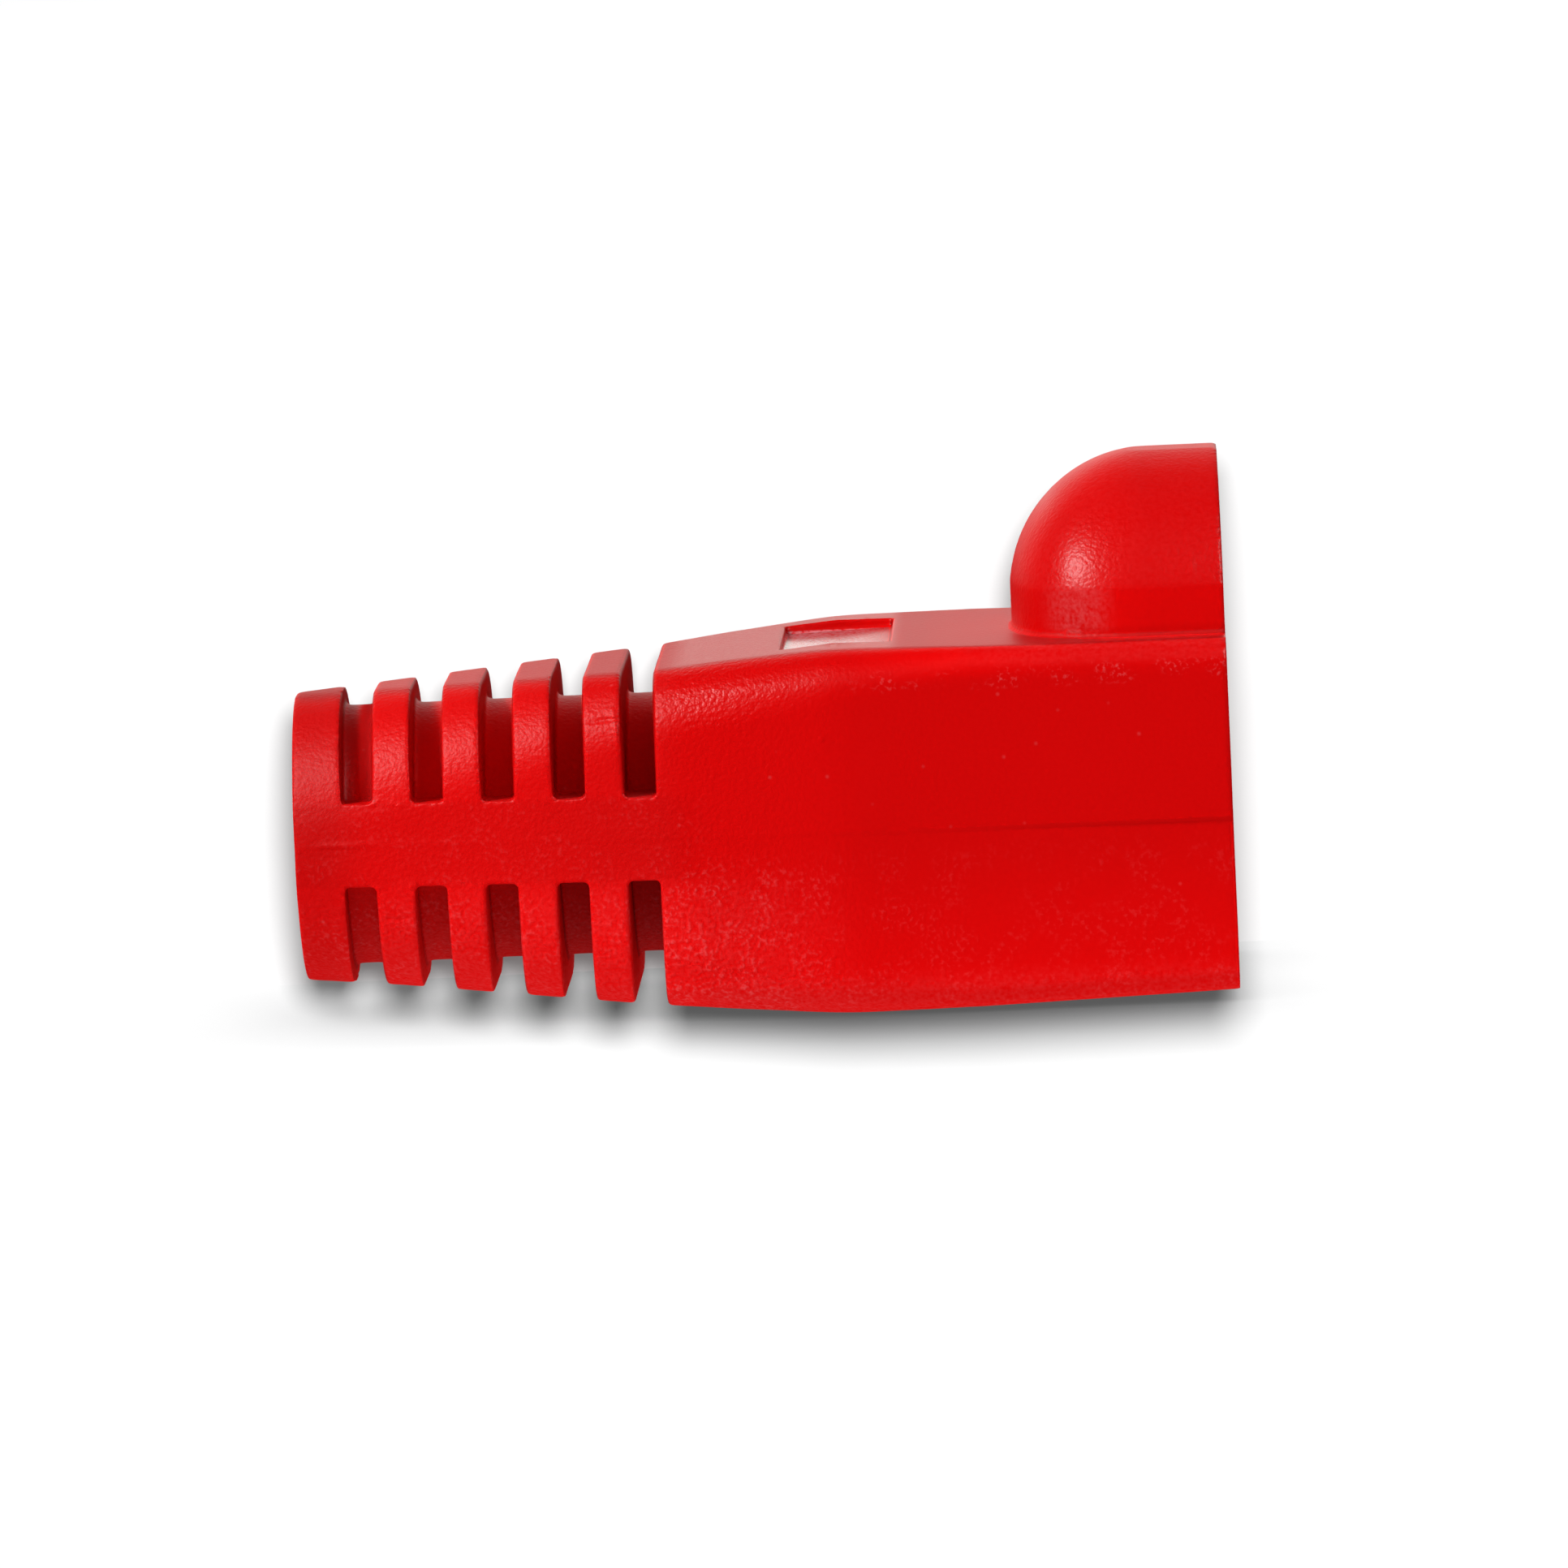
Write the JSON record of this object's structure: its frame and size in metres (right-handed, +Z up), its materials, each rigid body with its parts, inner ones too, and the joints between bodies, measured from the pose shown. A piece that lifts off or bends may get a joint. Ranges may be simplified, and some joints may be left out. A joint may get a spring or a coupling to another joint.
{
  "type": "strain relief boot",
  "caption": "One-piece soft strain-relief boot: slotted tapering tail round a cable, rectangular socket over a modular plug, and a domed hood over the plug's latch.",
  "frame": {"origin": "centre of the cable bore, on the tail end face", "axes": "+X along the cable to the mouth that takes the plug, +Z up to the latch hood"},
  "size_m": [0.028, 0.0138, 0.016],
  "materials": {
    "soft_pvc": "satin, lightly textured on the hood and the undersides"
  },
  "bodies": {
    "root": {"boot": "soft_pvc"}
  },
  "joints": []
}
